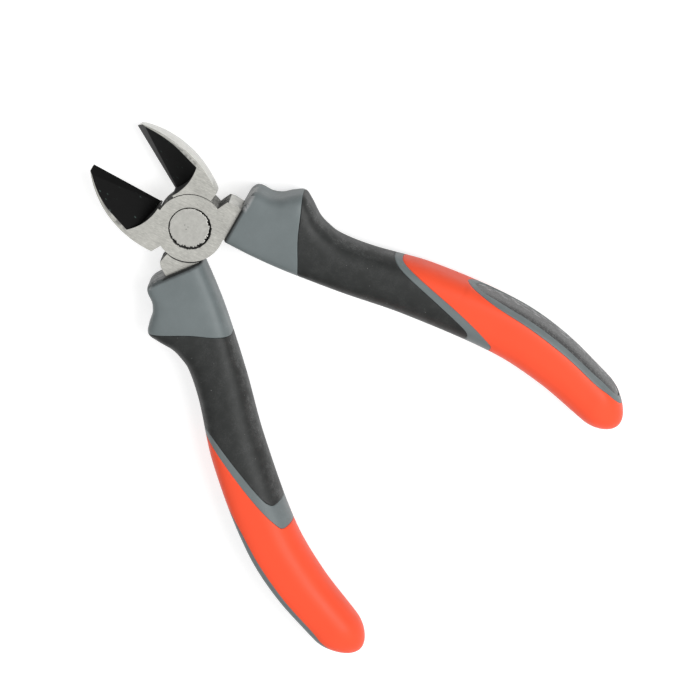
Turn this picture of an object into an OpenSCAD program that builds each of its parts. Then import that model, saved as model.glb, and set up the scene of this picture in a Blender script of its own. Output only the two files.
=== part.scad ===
// Diagonal cutting pliers, 160 mm class, with moulded grips.
// Millimetres. The origin is on the rivet's axis, at the ground back face of the head.
// +Y points to the jaw tips, +Z is the rivet's axis and points to the front face.
// Both halves are described closed about the head's middle plane, the front half with
// its jaw at -X and its handle at +X. They are then turned about the rivet to the
// opening wanted and lifted so that the back face is at height 0.

/* [Pose] */
// Angle between the two cutting edges at rest
opening = 30.6; // [0:0.1:43]

/* [Lap joint] */
// Thickness of the forged head
head_t = 9; // [8:0.5:12]
// Radius of each half's lapped disc
disc_r = 9.5; // [8.5:0.1:10.5]
// Gap between a disc's rim and the arc cut for it in the other half
rim_gap = 0.2; // [0.1:0.05:0.4]
// Gap between the two lapped faces
lap_gap = 0.04; // [0.02:0.01:0.1]

/* [Rivet] */
// Diameter of the flush head at the front
rivet_head_d = 11.8; // [10:0.1:13]
// Diameter of the flush peened head at the back
rivet_back_d = 10.6; // [9.5:0.1:12]
// Diameter of the shank that the rear half turns on
rivet_shank_d = 8; // [6:0.1:9]
// Thickness of each rivet head
rivet_head_t = 1.8; // [1.2:0.1:2.4]
// Radial running clearance of the shank in the rear half
shank_fit = 0.04; // [0.01:0.01:0.1]
// Radial clearance round the peened head
back_fit = 0.1; // [0.05:0.05:0.2]

/* [Jaws] */
// Distance from the pivot to the jaw tips
tip_y = 31.2; // [28:0.1:33]
// Greatest distance from the centre line to the jaw's spine
spine_x = 11.6; // [10.5:0.1:13]
// Distance from the pivot at which the spine is widest
spine_y = 9; // [7:0.5:11]
// Radius of the spine seen from the front
spine_r = 29.8; // [28:0.1:34]
// Radius of the spine's crown, seen along the jaw
crown_r = 24; // [18:1:40]
// Height of the crown's highest line above the middle plane
crown_z = 2; // [0:0.5:3]
// Space left on each side between the closed cutting edges
edge_gap = 0.03; // [0.01:0.01:0.1]
// Distance from the pivot at which the bevels start
bevel_y = 10.3; // [9.8:0.1:12]
// Radius of the cutter that ends the bevels towards the pivot
bevel_r = 13.6; // [12:0.1:15]
// Depth of the cutting edge below the middle plane where the bevels start
edge_drop = 3.8; // [3:0.1:4]
// Slope at which the cutting edge rises towards the tip
edge_slope = 11.1; // [9:0.1:13]
// Width of the honed strip where the bevels start
hone_w = 0.6; // [0.4:0.1:1.2]
// Angle of the honed strip, seen along the cutting edge
hone_angle = 46; // [42:1:50]
// Angle of the main bevel, seen along the cutting edge
bevel_angle = 36.2; // [34:0.1:39]
// Slope at which the main bevel rises, more than the edge's, so that the strip widens
bevel_slope = 12.4; // [11.1:0.1:13]
// Angle of the narrow bevel on the back face
back_angle = 45; // [35:1:55]
// Distance from the pivot at which the faces start to curve in towards the tips
taper_y = 20.4; // [18:0.2:24]
// Radius of the faces where they curve in, seen from the side
taper_r = 24; // [20:1:40]
// Direction of the jaw's shoulder, the first half of the opening stop
jaw_shoulder_angle = 154; // [150:1:158]

/* [Tang] */
// Direction of the tang's shoulder, the second half of the opening stop
tang_shoulder_angle = -22; // [-24:0.5:-16]
// Distance from the pivot to the outer corner of the tang's shoulder
tang_corner = 12.8; // [12:0.1:13.6]
// Distance from the pivot to the end of the tang, hidden in the grip
tang_end = 106; // [90:1:112]
// Thickness of the tang at its end
tang_end_t = 6; // [4:0.5:8]

/* [Grip] */
// Distance from the pivot to the nose of the collar
nose_s = 9.6; // [9.5:0.1:11]
// How much nearer to the pivot the nose is for each millimetre towards its outer side
nose_lean = 0.055; // [0:0.005:0.1]
// Distance from the pivot to the finger dip behind the nose
dip_s = 14.6; // [14:0.1:16]
// Distance from the centre line to the bottom of the finger dip
dip_x = 19.3; // [18.5:0.1:20.5]
// Distance from the pivot to the guard's peak
guard_s = 21.4; // [20:0.1:23]
// Distance from the centre line to the guard's peak
guard_x = 24.6; // [23:0.1:26]
// Distance from the pivot to the neck behind the guard
neck_s = 35.5; // [34:0.5:38]
// Distance from the centre line to the outside of the neck
neck_x = 19.7; // [18.5:0.1:21]
// Distance from the pivot to the grip's belly
belly_s = 88; // [84:1:92]
// Distance from the centre line to the outside of the belly
belly_x = 29.4; // [28:0.1:31]
// Width of the grip at its belly
belly_w = 14.9; // [13:0.1:16]
// Distance from the pivot to the start of the rounded end
tail_s = 119; // [116:0.5:121]
// Distance from the pivot to the end of the grip
grip_end = 128.1; // [125:0.1:130]
// Half the thickness of the collar
collar_h = 6.8; // [6.4:0.1:7.4]
// Half the thickness of the grip at its belly
belly_h = 8.3; // [7.6:0.1:9]
// Thickness of the two soft mouldings over the core
skin_t = 2.2; // [1.6:0.1:2.6]
// Thickness of the pad let into the outer side
pad_t = 1.4; // [1:0.1:1.8]
// Width of the frame that the core leaves round the pad
frame_w = 2.3; // [1.5:0.1:3]

/* [Hidden] */
// Names of the sub-parts, and the one that is drawn

// Facets of round surfaces
$fn = 96;
// Points round each section of a grip
ring_points = 24;
// Longer than any cut through the head or a grip
far = 200;
// How far a cutter runs past the end of what it cuts
past = 1;
// Half width and half thickness that a closing form keeps
least_half = 0.3;
half_t = head_t / 2;
spine_centre = [spine_r - spine_x, spine_y];

// Outer side of the grip, as pairs of distance from the pivot and from the centre line
outer_edge = [
    [nose_s, dip_x - 2.2],
    [nose_s + 0.9, dip_x - 0.9],
    [nose_s + 2.2, dip_x - 0.3],
    [dip_s, dip_x],
    [dip_s + 2.4, dip_x + 1.3],
    [guard_s - 2.4, guard_x - 1.8],
    [guard_s, guard_x],
    [guard_s + 3, guard_x - 1.2],
    [guard_s + 7, guard_x - 3.6],
    [neck_s - 4, neck_x + 0.4],
    [neck_s, neck_x],
    [neck_s + 9, neck_x + 1.6],
    [(neck_s + belly_s) / 2, belly_x - 3.3],
    [belly_s, belly_x],
    [(belly_s + tail_s) / 2, belly_x - 0.8],
    [tail_s, belly_x - 4.4],
    [grip_end, belly_x - 7.5]
];

// Inner side of the grip, in the same way
inner_edge = [
    [nose_s, 1.5],
    [24, 2.9],
    [neck_s + 7.5, 6.1],
    [(neck_s + belly_s) / 2, 10.4],
    [belly_s, belly_x - belly_w - 0.1],
    [(belly_s + tail_s) / 2, belly_x - belly_w - 0.5],
    [tail_s, belly_x - 17.9],
    [grip_end, belly_x - 19]
];

// Half thickness of the grip, in the same way
thickness = [
    [nose_s, collar_h - 0.7],
    [nose_s + 1.2, collar_h],
    [guard_s, collar_h + 0.2],
    [neck_s, collar_h + 0.6],
    [belly_s, belly_h],
    [tail_s, belly_h - 0.9],
    [grip_end, belly_h - 1.6]
];

// Squareness of the section: distance, exponent at the outer side, at the inner side
squareness = [
    [nose_s, 7, 4.5],
    [guard_s, 4.2, 4.5],
    [neck_s, 2.7, 2.8],
    [neck_s + 20, 2.8, 2.3],
    [belly_s, 4.2, 2.3],
    [tail_s, 3.2, 2.3],
    [grip_end, 2.4, 2.2]
];

// Distances from the pivot at which the grip's sections lie, closest where it bends most
nose_places = [0, 0.5, 1.1, 2, 3.2];
tail_angles = [0, 20, 38, 54, 68, 80];
guard_end = guard_s + 4;
neck_end = neck_s + 2;
belly_end = tail_s - 2;
guard_step = 1.2;
neck_step = 2.4;
belly_step = 4.5;
sections = [
    for (s = nose_places) nose_s + s,
    for (s = [dip_s : guard_step : guard_end]) s,
    for (s = [guard_end + neck_step : neck_step : neck_end]) s,
    for (s = [neck_end + belly_step : belly_step : belly_end]) s,
    for (a = tail_angles) tail_s + (grip_end - tail_s) * sin(a)
];

// Seams in plan, as pairs of distance from the centre line and from the pivot
collar_seam = [[4, 32], [8, 29.9], [14, 26.3], [21, 23], [24.5, 21.2], [28, 18.8]];
black_seam = [
    [12, 79], [14.4, 79.4], [16.2, 79.1], [17.7, 75], [19.9, 66], [22, 55], [23.3, 51], [25.6, 47.5]
];
orange_seam = [
    [12, 86.2], [15, 86.6], [16.8, 86.4], [17.8, 83], [19.3, 79], [21, 72], [22.9, 60], [23.9, 53.4],
    [26.6, 49.8]
];
// Steps in which a seam is drawn
seam_steps = 32;

// The leaf on the outer side, as pairs of distance from the pivot and half height
leaf_start = 71.8;
leaf_end = 125.4;
leaf_outline = [
    [leaf_start, least_half], [72.8, 3], [75, 5.1], [79, 6.7], [85, 7.6], [96, 8], [110, 7.7], [118, 6.9],
    [122.3, 5.3], [124.6, 2.8], [leaf_end, least_half]
];
// How far the leaf reaches in from the outer side
leaf_depth = 4.5;
// How much further than the frame's width the pad stays from the leaf's start
leaf_lead = 1.4;
// How fast the frame reaches its full width at both ends of the leaf
leaf_ease = 8;
// Steps in which the leaf and the side it lies on are drawn
leaf_steps = 24;
side_step = 6;

// Sides of the tang inside the grip
tang_step = 6;
tang_start = 10;
// What is taken off behind the shoulder's corner
shoulder_cut = [0.5, 1.4];
// Where the tang's inner side leaves the disc
tang_root = [1.4, 0.6 - disc_r];
// Distance from the pivot to which the tang is as thick as the head
tang_full = nose_s + 4;
tang_outer = [
    [tang_start, 12.2], [16, 13.2], [28, 15.2], [40, 16.2], [60, 21.4], [86, 24.9], [tang_end, 23.4]
];
tang_inner = [
    [tang_start, 2.9], [16, 4.2], [28, 7], [40, 9.4], [60, 14.5], [86, 18.7], [tang_end, 18.1]
];

// A smooth curve through rows of [place, value ...], read at place s
function row_at(rows, s, i = 0) = (i >= len(rows) - 2 || s <= rows[i + 1][0]) ? i : row_at(rows, s, i + 1);
function rate(a, b) = (b - a) / (b[0] - a[0]);
function slope(rows, i) =
    let (before = max(i - 1, 0), after = min(i + 1, len(rows) - 1))
    rate(rows[before], rows[after]);
function along(rows, s) =
    let (
        i = row_at(rows, s),
        a = rows[i],
        b = rows[i + 1],
        w = b[0] - a[0],
        t = (s - a[0]) / w
    )
    (2 * t ^ 3 - 3 * t ^ 2 + 1) * a
        + (t ^ 3 - 2 * t ^ 2 + t) * w * slope(rows, i)
        + (3 * t ^ 2 - 2 * t ^ 3) * b
        + (t ^ 3 - t ^ 2) * w * slope(rows, i + 1);

// A power that keeps its sign
function signed_power(v, e) = sign(v) * abs(v) ^ e;

// How far the rounded end has closed in at distance s
function end_round(s) = s <= tail_s ? 1 : sqrt(max(0, 1 - ((s - tail_s) / (grip_end - tail_s)) ^ 2));

// One section of the grip: a rounded outline whose two sides differ in squareness
function grip_ring(s, inset) =
    let (
        outer = along(outer_edge, s)[1],
        inner = along(inner_edge, s)[1],
        square = along(squareness, s),
        close = end_round(s),
        lean = nose_lean * max(0, 1 - (s - nose_s) / (guard_s - nose_s)),
        w = max((outer - inner) / 2 * close - inset, least_half),
        h = max(along(thickness, s)[1] * close - inset, least_half)
    )
    [
        for (k = [0 : ring_points - 1])
        let (
            a = 360 * (k + 0.5) / ring_points,
            e = 2 / (cos(a) > 0 ? square[1] : square[2]),
            x = (outer + inner) / 2 + w * signed_power(cos(a), e)
        )
        [x, lean * (x - inner) - s, h * signed_power(sin(a), e)]
    ];

// The grip's outer form, or the same form drawn in by inset
module grip_form(inset = 0) {
    rings = [for (s = sections) if (s >= nose_s + inset && s < grip_end - inset) grip_ring(s, inset)];
    last = len(rings) - 1;
    n = ring_points;
    polyhedron(
        points = [for (ring = rings) for (p = ring) p],
        faces = [
            [for (k = [0 : n - 1]) k],
            for (r = [0 : last - 1])
            for (k = [0 : n - 1])
            let (
                a = r * n + k,
                b = r * n + (k + 1) % n
            )
            each [[a, a + n, b], [b, a + n, b + n]],
            [for (k = [n - 1 : -1 : 0]) last * n + k]
        ]
    );
}

// Everything on the pivot's side of a seam
module ahead_of(rows) {
    first = rows[0];
    last = rows[len(rows) - 1];
    line = [
        for (i = [0 : seam_steps])
        let (x = first.x + (last.x - first.x) * i / seam_steps)
        [x, -along(rows, x).y]
    ];
    linear_extrude(far, center = true) {
        polygon(concat(line, [[far, -last.y], [far, far], [-far, far], [-far, -first.y]]));
    }
}

// The outer side of the grip, as deep as the leaf reaches
module outer_side() {
    linear_extrude(far, center = true) {
        polygon([
            for (s = [leaf_start - side_step : side_step : grip_end + side_step])
            [along(outer_edge, min(s, grip_end))[1] - leaf_depth, -s],
            [far, -grip_end - side_step],
            [far, side_step - leaf_start]
        ]);
    }
}

// The leaf let into the outer side, drawn in by inset
module leaf(inset = 0) {
    low = leaf_start + inset * leaf_lead;
    high = leaf_end - inset;
    edge = [
        for (i = [0 : leaf_steps])
        let (
            t = (1 - cos(180 * i / leaf_steps)) / 2,
            half = along(leaf_outline, leaf_start + t * (leaf_end - leaf_start))[1],
            ease = min(1, leaf_ease * t, leaf_ease * (1 - t))
        )
        [-low - t * (high - low), max(half - inset * ease, least_half / 2)]
    ];
    intersection() {
        rotate([90, 0, 90]) linear_extrude(far) {
            polygon(concat(edge, [for (i = [leaf_steps : -1 : 0]) [edge[i].x, -edge[i].y]]));
        }
        outer_side();
    }
}

// Room for the soft black moulding, from the collar to the stripe
module sleeve_room() {
    difference() {
        ahead_of(black_seam);
        ahead_of(collar_seam);
        grip_form(skin_t);
    }
}

// Room for the soft orange moulding, from the stripe to the end
module shell_room() {
    difference() {
        translate([-far / 2, -far, -far / 2]) cube([far, far, far]);
        ahead_of(orange_seam);
        leaf();
        grip_form(skin_t);
    }
}

// Room for the pad inside the frame
module pad_room() {
    difference() {
        leaf(frame_w);
        grip_form(pad_t);
    }
}

// The jaw before its bevels are ground, a sector of a disc with a crowned rim
module jaw_blank() {
    intersection() {
        translate([spine_centre.x, spine_centre.y, 0]) rotate_extrude($fn = 180) {
            intersection() {
                translate([0, -half_t]) square([spine_r, head_t]);
                translate([spine_r - crown_r, crown_z]) circle(crown_r, $fn = 120);
            }
        }
        linear_extrude(head_t, center = true) {
            polygon([
                [-edge_gap, 0],
                [-edge_gap, tip_y],
                [tip_y / tan(jaw_shoulder_angle), tip_y]
            ]);
        }
        rotate([90, 0, 90]) linear_extrude(far, center = true) {
            translate([-far + taper_y, -half_t]) square([far, head_t]);
            intersection() {
                translate([taper_y, half_t - taper_r]) circle(taper_r, $fn = 240);
                translate([taper_y, taper_r - half_t]) circle(taper_r, $fn = 240);
            }
        }
    }
}

// All above a plane through the place [x, z] at the bevels' start, tilted sideways by an
// angle and rising by a slope towards the tip
module above_plane(place, angle, slope) {
    translate([place[0], bevel_y, place[1]]) rotate([slope, 0, 0]) rotate([0, angle, 0]) {
        translate([-far / 2, -far / 2, 0]) cube([far, far, far / 2]);
    }
}

// Where the bevels are ground, which starts in an arc on the pivot's side
module ground_zone() {
    linear_extrude(far, center = true) {
        translate([0, bevel_y + bevel_r]) circle(bevel_r);
        translate([-far / 2, bevel_y + bevel_r]) square([far, far / 2]);
    }
}

// The main bevel and the honed strip on the front face
module front_bevel() {
    strip_rise = hone_w * tan(hone_angle) / cos(edge_slope);
    intersection() {
        ground_zone();
        union() {
            above_plane([0, -edge_drop], hone_angle, edge_slope);
            above_plane([-hone_w, strip_rise - edge_drop], bevel_angle, bevel_slope);
        }
    }
}

// The narrow bevel on the back face, from the same cutting edge
module back_bevel() {
    intersection() {
        ground_zone();
        mirror([0, 0, 1]) above_plane([0, edge_drop], back_angle, -edge_slope);
    }
}

// The tang, full thickness at the head and thinner towards its end
module tang() {
    corner = tang_corner * [cos(tang_shoulder_angle), sin(tang_shoulder_angle)];
    intersection() {
        linear_extrude(head_t, center = true) {
            polygon(concat(
                [[0, 0], corner, [tang_corner - shoulder_cut.x, corner.y - shoulder_cut.y]],
                [for (s = [tang_start : tang_step : tang_end]) [along(tang_outer, s)[1], -s]],
                [for (s = [tang_end : -tang_step : tang_start]) [along(tang_inner, s)[1], -s]],
                [tang_root]
            ));
        }
        rotate([90, 0, 90]) linear_extrude(far, center = true) {
            polygon([
                [far, half_t], [-tang_full, half_t], [-tang_end - past, tang_end_t / 2],
                [-tang_end - past, -tang_end_t / 2], [-tang_full, -half_t], [far, -half_t]
            ]);
        }
    }
}

// One forged half, closed, with its disc at the front (level 1) or the back (level -1)
module forged_half(level) {
    difference() {
        union() {
            difference() {
                union() {
                    jaw_blank();
                    tang();
                }
                translate([0, 0, -level * (half_t - lap_gap / 2)]) {
                    cylinder(r = disc_r + rim_gap, h = head_t, center = true);
                }
            }
            translate([0, 0, level * (half_t + lap_gap / 2) / 2]) {
                cylinder(r = disc_r, h = half_t - lap_gap / 2, center = true);
            }
        }
        front_bevel();
        back_bevel();
    }
}

// Lifts what is drawn about the middle plane, so that the back face is at height 0
module lifted() {
    translate([0, 0, half_t]) children();
}

// A half turned to its side of the opening: the front half one way, the rear half the other
module front_pose() {
    rotate(opening / 2) children();
}

module rear_pose() {
    rotate(-opening / 2) mirror([1, 0, 0]) children();
}

module front_half() {
    color([0.68, 0.68, 0.65]) lifted() difference() {
        front_pose() forged_half(1);
        translate([0, 0, half_t - rivet_head_t]) cylinder(d = rivet_head_d, h = head_t);
        cylinder(d = rivet_shank_d, h = far, center = true);
    }
}

module rear_half() {
    color([0.66, 0.66, 0.63]) lifted() difference() {
        rear_pose() forged_half(-1);
        translate([0, 0, lap_gap + rivet_head_t - half_t - head_t]) {
            cylinder(d = rivet_back_d + 2 * back_fit, h = head_t);
        }
        cylinder(d = rivet_shank_d + 2 * shank_fit, h = far, center = true);
    }
}

module rivet() {
    color([0.76, 0.76, 0.74]) lifted() union() {
        translate([0, 0, half_t - rivet_head_t]) cylinder(d = rivet_head_d, h = rivet_head_t);
        cylinder(d = rivet_shank_d, h = head_t - rivet_head_t, center = true);
        translate([0, 0, -half_t]) cylinder(d = rivet_back_d, h = rivet_head_t);
    }
}

// Hard grey core: collar, stripe and leaf frame in one moulding over the tang
module grip_core() {
    color([0.45, 0.49, 0.5]) difference() {
        grip_form();
        sleeve_room();
        shell_room();
        pad_room();
        tang();
    }
}

// Soft black moulding behind the guard
module grip_sleeve() {
    color([0.22, 0.23, 0.23]) intersection() {
        grip_form();
        sleeve_room();
    }
}

// Soft orange moulding over the belly and the end
module grip_shell() {
    color([1, 0.37, 0.25]) intersection() {
        grip_form();
        shell_room();
    }
}

// Dark pad in the leaf frame
module grip_pad() {
    color([0.4, 0.41, 0.41]) intersection() {
        grip_form();
        pad_room();
    }
}

module right_grip_core() {
    lifted() front_pose() grip_core();
}

module right_grip_sleeve() {
    lifted() front_pose() grip_sleeve();
}

module right_grip_shell() {
    lifted() front_pose() grip_shell();
}

module right_grip_pad() {
    lifted() front_pose() grip_pad();
}

module left_grip_core() {
    lifted() rear_pose() grip_core();
}

module left_grip_sleeve() {
    lifted() rear_pose() grip_sleeve();
}

module left_grip_shell() {
    lifted() rear_pose() grip_shell();
}

module left_grip_pad() {
    lifted() rear_pose() grip_pad();
}

front_half();
rear_half();
rivet();
right_grip_core();
right_grip_sleeve();
right_grip_shell();
right_grip_pad();
left_grip_core();
left_grip_sleeve();
left_grip_shell();
left_grip_pad();
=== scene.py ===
import math

import bmesh
import bpy
import numpy as np
from mathutils import Matrix, Vector


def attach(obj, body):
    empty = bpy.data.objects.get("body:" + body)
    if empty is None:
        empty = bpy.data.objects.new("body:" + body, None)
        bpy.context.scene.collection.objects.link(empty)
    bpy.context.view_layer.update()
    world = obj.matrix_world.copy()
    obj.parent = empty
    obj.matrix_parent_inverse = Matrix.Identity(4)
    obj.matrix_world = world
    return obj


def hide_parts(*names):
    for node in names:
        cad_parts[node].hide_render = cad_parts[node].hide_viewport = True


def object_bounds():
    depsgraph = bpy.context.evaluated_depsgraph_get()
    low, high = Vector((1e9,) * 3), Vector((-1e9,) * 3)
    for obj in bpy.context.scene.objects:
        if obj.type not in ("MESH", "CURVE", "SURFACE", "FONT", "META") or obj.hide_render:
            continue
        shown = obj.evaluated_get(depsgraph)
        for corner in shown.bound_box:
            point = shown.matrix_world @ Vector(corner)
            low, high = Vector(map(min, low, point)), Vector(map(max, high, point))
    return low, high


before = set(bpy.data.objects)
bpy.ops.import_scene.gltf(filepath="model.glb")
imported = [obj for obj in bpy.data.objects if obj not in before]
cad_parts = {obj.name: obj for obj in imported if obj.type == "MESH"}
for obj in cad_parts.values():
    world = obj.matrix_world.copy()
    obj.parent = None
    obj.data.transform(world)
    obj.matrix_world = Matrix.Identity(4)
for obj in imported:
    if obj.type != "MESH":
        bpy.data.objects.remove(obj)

MM = 0.001
CAD_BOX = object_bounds()

# Head: millimetres and degrees, as the solids have them
OPENING = 30.6
HEAD_T = 9
HALF_T = HEAD_T / 2
SPINE_X = 11.6
SPINE_Y = 9
SPINE_R = 29.8
DISC_R = 9.5
BEVEL_Y = 10.3
BEVEL_R = 13.6
EDGE_DROP = 3.8
EDGE_SLOPE = 11.1
HONE_W = 0.6
HONE_ANGLE = 46
BEVEL_ANGLE = 36.2
BEVEL_SLOPE = 12.4
BACK_ANGLE = 45
SHOULDER_ANGLE = -22
RIVET_HEAD_R = 5.9
RIVET_BACK_R = 5.3
RIVET_SHANK_R = 4
RIVET_HEAD_T = 1.8

# Grip: distances from the pivot along the handle and from the centre line. The frame round the pad is narrower than
# in the solids
NOSE = 9.6
NOSE_LEAN = 0.055
DIP_S = 14.6
DIP_X = 19.3
GUARD_S = 21.4
GUARD_X = 24.6
NECK_S = 35.5
NECK_X = 19.7
BELLY_S = 88
BELLY_X = 29.4
BELLY_W = 14.9
TAIL = 119
GRIP_END = 128.1
COLLAR_H = 6.8
BELLY_H = 8.3
SKIN = 2.2
PAD_T = 1.4
FRAME_W = 1.7
TANG_FULL = NOSE + 4
TANG_END = 106
TANG_END_T = 6
MIDDLE_S = (NECK_S + BELLY_S) / 2
LOW_S = (BELLY_S + TAIL) / 2
OUTER_EDGE = [
    (NOSE, DIP_X - 2.2), (NOSE + 0.9, DIP_X - 0.9), (NOSE + 2.2, DIP_X - 0.3), (DIP_S, DIP_X),
    (DIP_S + 2.4, DIP_X + 1.3), (GUARD_S - 2.4, GUARD_X - 1.8), (GUARD_S, GUARD_X), (GUARD_S + 3, GUARD_X - 1.2),
    (GUARD_S + 7, GUARD_X - 3.6), (NECK_S - 4, NECK_X + 0.4), (NECK_S, NECK_X), (NECK_S + 9, NECK_X + 1.6),
    (MIDDLE_S, BELLY_X - 3.3),
    (BELLY_S, BELLY_X), (LOW_S, BELLY_X - 0.8), (TAIL, BELLY_X - 4.4), (GRIP_END, BELLY_X - 7.5),
]
NOSE_IN = 1.5
INNER_EDGE = [
    (NOSE, NOSE_IN), (24, 2.9), (NECK_S + 7.5, 6.1), (MIDDLE_S, 10.4), (BELLY_S, BELLY_X - BELLY_W - 0.1),
    (LOW_S, BELLY_X - BELLY_W - 0.5), (TAIL, BELLY_X - 17.9), (GRIP_END, BELLY_X - 19),
]
THICKNESS = [
    (NOSE, COLLAR_H - 0.7), (NOSE + 1.2, COLLAR_H), (GUARD_S, COLLAR_H + 0.2), (NECK_S, COLLAR_H + 0.6),
    (BELLY_S, BELLY_H), (TAIL, BELLY_H - 0.9), (GRIP_END, BELLY_H - 1.6),
]
SQUARENESS = [
    (NOSE, 7, 4.5), (GUARD_S, 4.2, 4.5), (NECK_S, 2.7, 2.8), (NECK_S + 20, 2.8, 2.3),
    (BELLY_S, 4.2, 2.3), (TAIL, 3.2, 2.3), (GRIP_END, 2.4, 2.2),
]
# Seams as places across and along the grip, and the pad's leaf outline as half heights along it
COLLAR_SEAM = [(4, 32), (8, 29.9), (14, 26.3), (21, 23), (24.5, 21.2), (28, 18.8)]
BLACK_SEAM = [(12, 79), (14.4, 79.4), (16.4, 79.1), (17.8, 76.2), (19.9, 66.4), (22, 55), (23.3, 51), (25.6, 47.5)]
ORANGE_SEAM = [
    (12, 86.2), (15, 86.6), (17, 86.2), (18, 84), (19.4, 79.4), (21, 72), (22.9, 60), (23.9, 53.4), (26.6, 49.8),
]
LEAF_START = 71.8
LEAF_END = 125.4
LEAF_LEAD = 1.4
LEAF_EASE = 8
LEAF_OUTLINE = [
    (LEAF_START, 0.3), (72.8, 3), (75, 5.1), (79, 6.7), (85, 7.6), (96, 8), (110, 7.7), (118, 6.9), (122.3, 5.3),
    (124.6, 2.8), (LEAF_END, 0.3),
]
TANG_OUTER = [(10, 12.2), (16, 13.2), (28, 15.2), (40, 16.2), (60, 21.4), (86, 24.9), (TANG_END, 23.4)]
TANG_INNER = [(10, 2.9), (16, 4.2), (28, 7), (40, 9.4), (60, 14.5), (86, 18.7), (TANG_END, 18.1)]
PAD_LOW = LEAF_START + LEAF_LEAD * FRAME_W
PAD_HIGH = LEAF_END - FRAME_W

# Edges and gaps of the grip that the solids leave out
EDGE_R = 0.22
NOSE_R = 0.7
FRAME_ROUND = 0.12
PAD_SINK = 0.25
PAD_ROUND = 0.55
PAD_END_ROUND = 0.12
UNDER = 0.01
HOLE_GAP = 0.07
MOUTH_GAP = 0.2
MOUTH_FLARE = 0.6
# How the points spread round the grip: polar angles, and where the inner wall starts to draw away from the tail
LEAF_TIP = 0.02
LEAF_SPREAD = 0.07
LEAF_FULL = 0.985
PAD_SHARE = 0.8
FRAME_TURN = 1
FRAME_EASE = 14
BASE_TURN = 0.6
BASE_REACH = 0.5
FLAT_KNEE = 118


def through(rows, s):
    """Smooth curve through rows of (place, value ...), read at the places s.

    Between two rows it is the cubic that has their values and, at each row, the slope of the chord from the row
    before to the row after. Returns one array for each value."""
    rows = np.array(rows, float)
    place, value = rows[:, 0], rows[:, 1:]
    row = np.arange(len(rows))
    before, after = np.maximum(row - 1, 0), np.minimum(row + 1, len(rows) - 1)
    slope = (value[after] - value[before]) / (place[after] - place[before])[:, None]
    i = np.clip(np.searchsorted(place, s) - 1, 0, len(rows) - 2)
    w = place[i + 1] - place[i]
    t = (s - place[i]) / w
    found = [
        (2 * t**3 - 3 * t**2 + 1) * value[i, k]
        + (t**3 - 2 * t**2 + t) * w * slope[i, k]
        + (3 * t**2 - 2 * t**3) * value[i + 1, k]
        + (t**3 - t**2) * w * slope[i + 1, k]
        for k in range(value.shape[1])
    ]
    return found[0] if len(found) == 1 else found


def end_round(s):
    """How far the rounded end has closed in at s: 1 before it, then the height of a quarter circle down to 0."""
    t = np.clip((s - TAIL) / (GRIP_END - TAIL), 0, 1)
    return np.sqrt(1 - t**2)


def half_sizes(s, inset):
    """Half width and half thickness of the grip's section at s, both less by inset."""
    close = end_round(s)
    w = (through(OUTER_EDGE, s) - through(INNER_EDGE, s)) / 2 * close - inset
    h = through(THICKNESS, s) * close - inset
    return np.maximum(w, 0.02), np.maximum(h, 0.02)


def leaning(s, x):
    """Place along the handle of a point at x in the section s: near the nose the sections lean, in proportion to
    the distance from the inner side and less and less towards the guard."""
    lean = NOSE_LEAN * np.maximum(0, 1 - (s - NOSE) / (GUARD_S - NOSE))
    return lean * (x - through(INNER_EDGE, s)) - s


def skin_point(s, turn, inset):
    """Point of the grip's form at the distance s and the polar angle turn about the section's middle.

    The section is |x/w|^n + |z/h|^n = 1, with one n on the outer side and one on the inner, so its radius in the
    direction turn is (|cos/w|^n + |sin/h|^n)^(-1/n)."""
    w, h = half_sizes(s, inset)
    outer_n, inner_n = through(SQUARENESS, s)
    n = np.where(np.cos(turn) > 0, outer_n, inner_n)
    r = (np.abs(np.cos(turn) / w) ** n + np.abs(np.sin(turn) / h) ** n) ** (-1 / n)
    x = (through(OUTER_EDGE, s) + through(INNER_EDGE, s)) / 2 + r * np.cos(turn)
    return np.stack([x, leaning(s, x), r * np.sin(turn)], -1)


def leaf_turn(s, inset, tip):
    """Polar angle at which the leaf outline, drawn in by inset, crosses the section at s.

    The outline gives the height z; the section gives x = w (1 - (z/h)^n)^(1/n). Beyond the leaf's tips the angle
    grows slowly from tip, so that the columns of points spread again."""
    low, high = LEAF_START + LEAF_LEAD * inset, LEAF_END - inset
    t = np.clip((s - low) / (high - low), 0, 1)
    z = through(LEAF_OUTLINE, LEAF_START + t * (LEAF_END - LEAF_START))
    z = z - inset * np.minimum(1, LEAF_EASE * np.minimum(t, 1 - t))
    w, h = half_sizes(s, 0)
    n = through(SQUARENESS, s)[0]
    share = np.clip(z / h, 0, LEAF_FULL)
    turn = np.arctan2(share * h, w * (1 - share**n) ** (1 / n))
    beyond = np.maximum(np.maximum(low - s, s - high), 0)
    return np.where(beyond > 0, tip + LEAF_SPREAD * beyond, np.maximum(turn, tip))


def turn_at(s, column):
    """Polar angle of a column of points at s. Columns 0 to 1 lie on the pad, 1 to 2 on its frame and 2 to 3 on
    the rest, up to the middle of the inner side; negative columns are their mirror image. The frame's edge is the
    leaf outline, eased under FRAME_TURN by the soft minimum -log(exp(-ka) + exp(-kb)) / k."""
    c = np.abs(column)
    out = -np.logaddexp(-FRAME_EASE * leaf_turn(s, 0, LEAF_TIP), -FRAME_EASE * FRAME_TURN) / FRAME_EASE
    into = np.minimum(leaf_turn(s, FRAME_W, LEAF_TIP / 2), PAD_SHARE * out)
    near = np.clip(1 - (c - 2) / BASE_REACH, 0, 1)
    rest = BASE_TURN + (c - 2) * (math.pi - BASE_TURN) + (out - BASE_TURN) * near**2
    turn = np.where(c <= 1, c * into, np.where(c <= 2, into + (c - 1) * (out - into), rest))
    return np.sign(column) * turn


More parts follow.
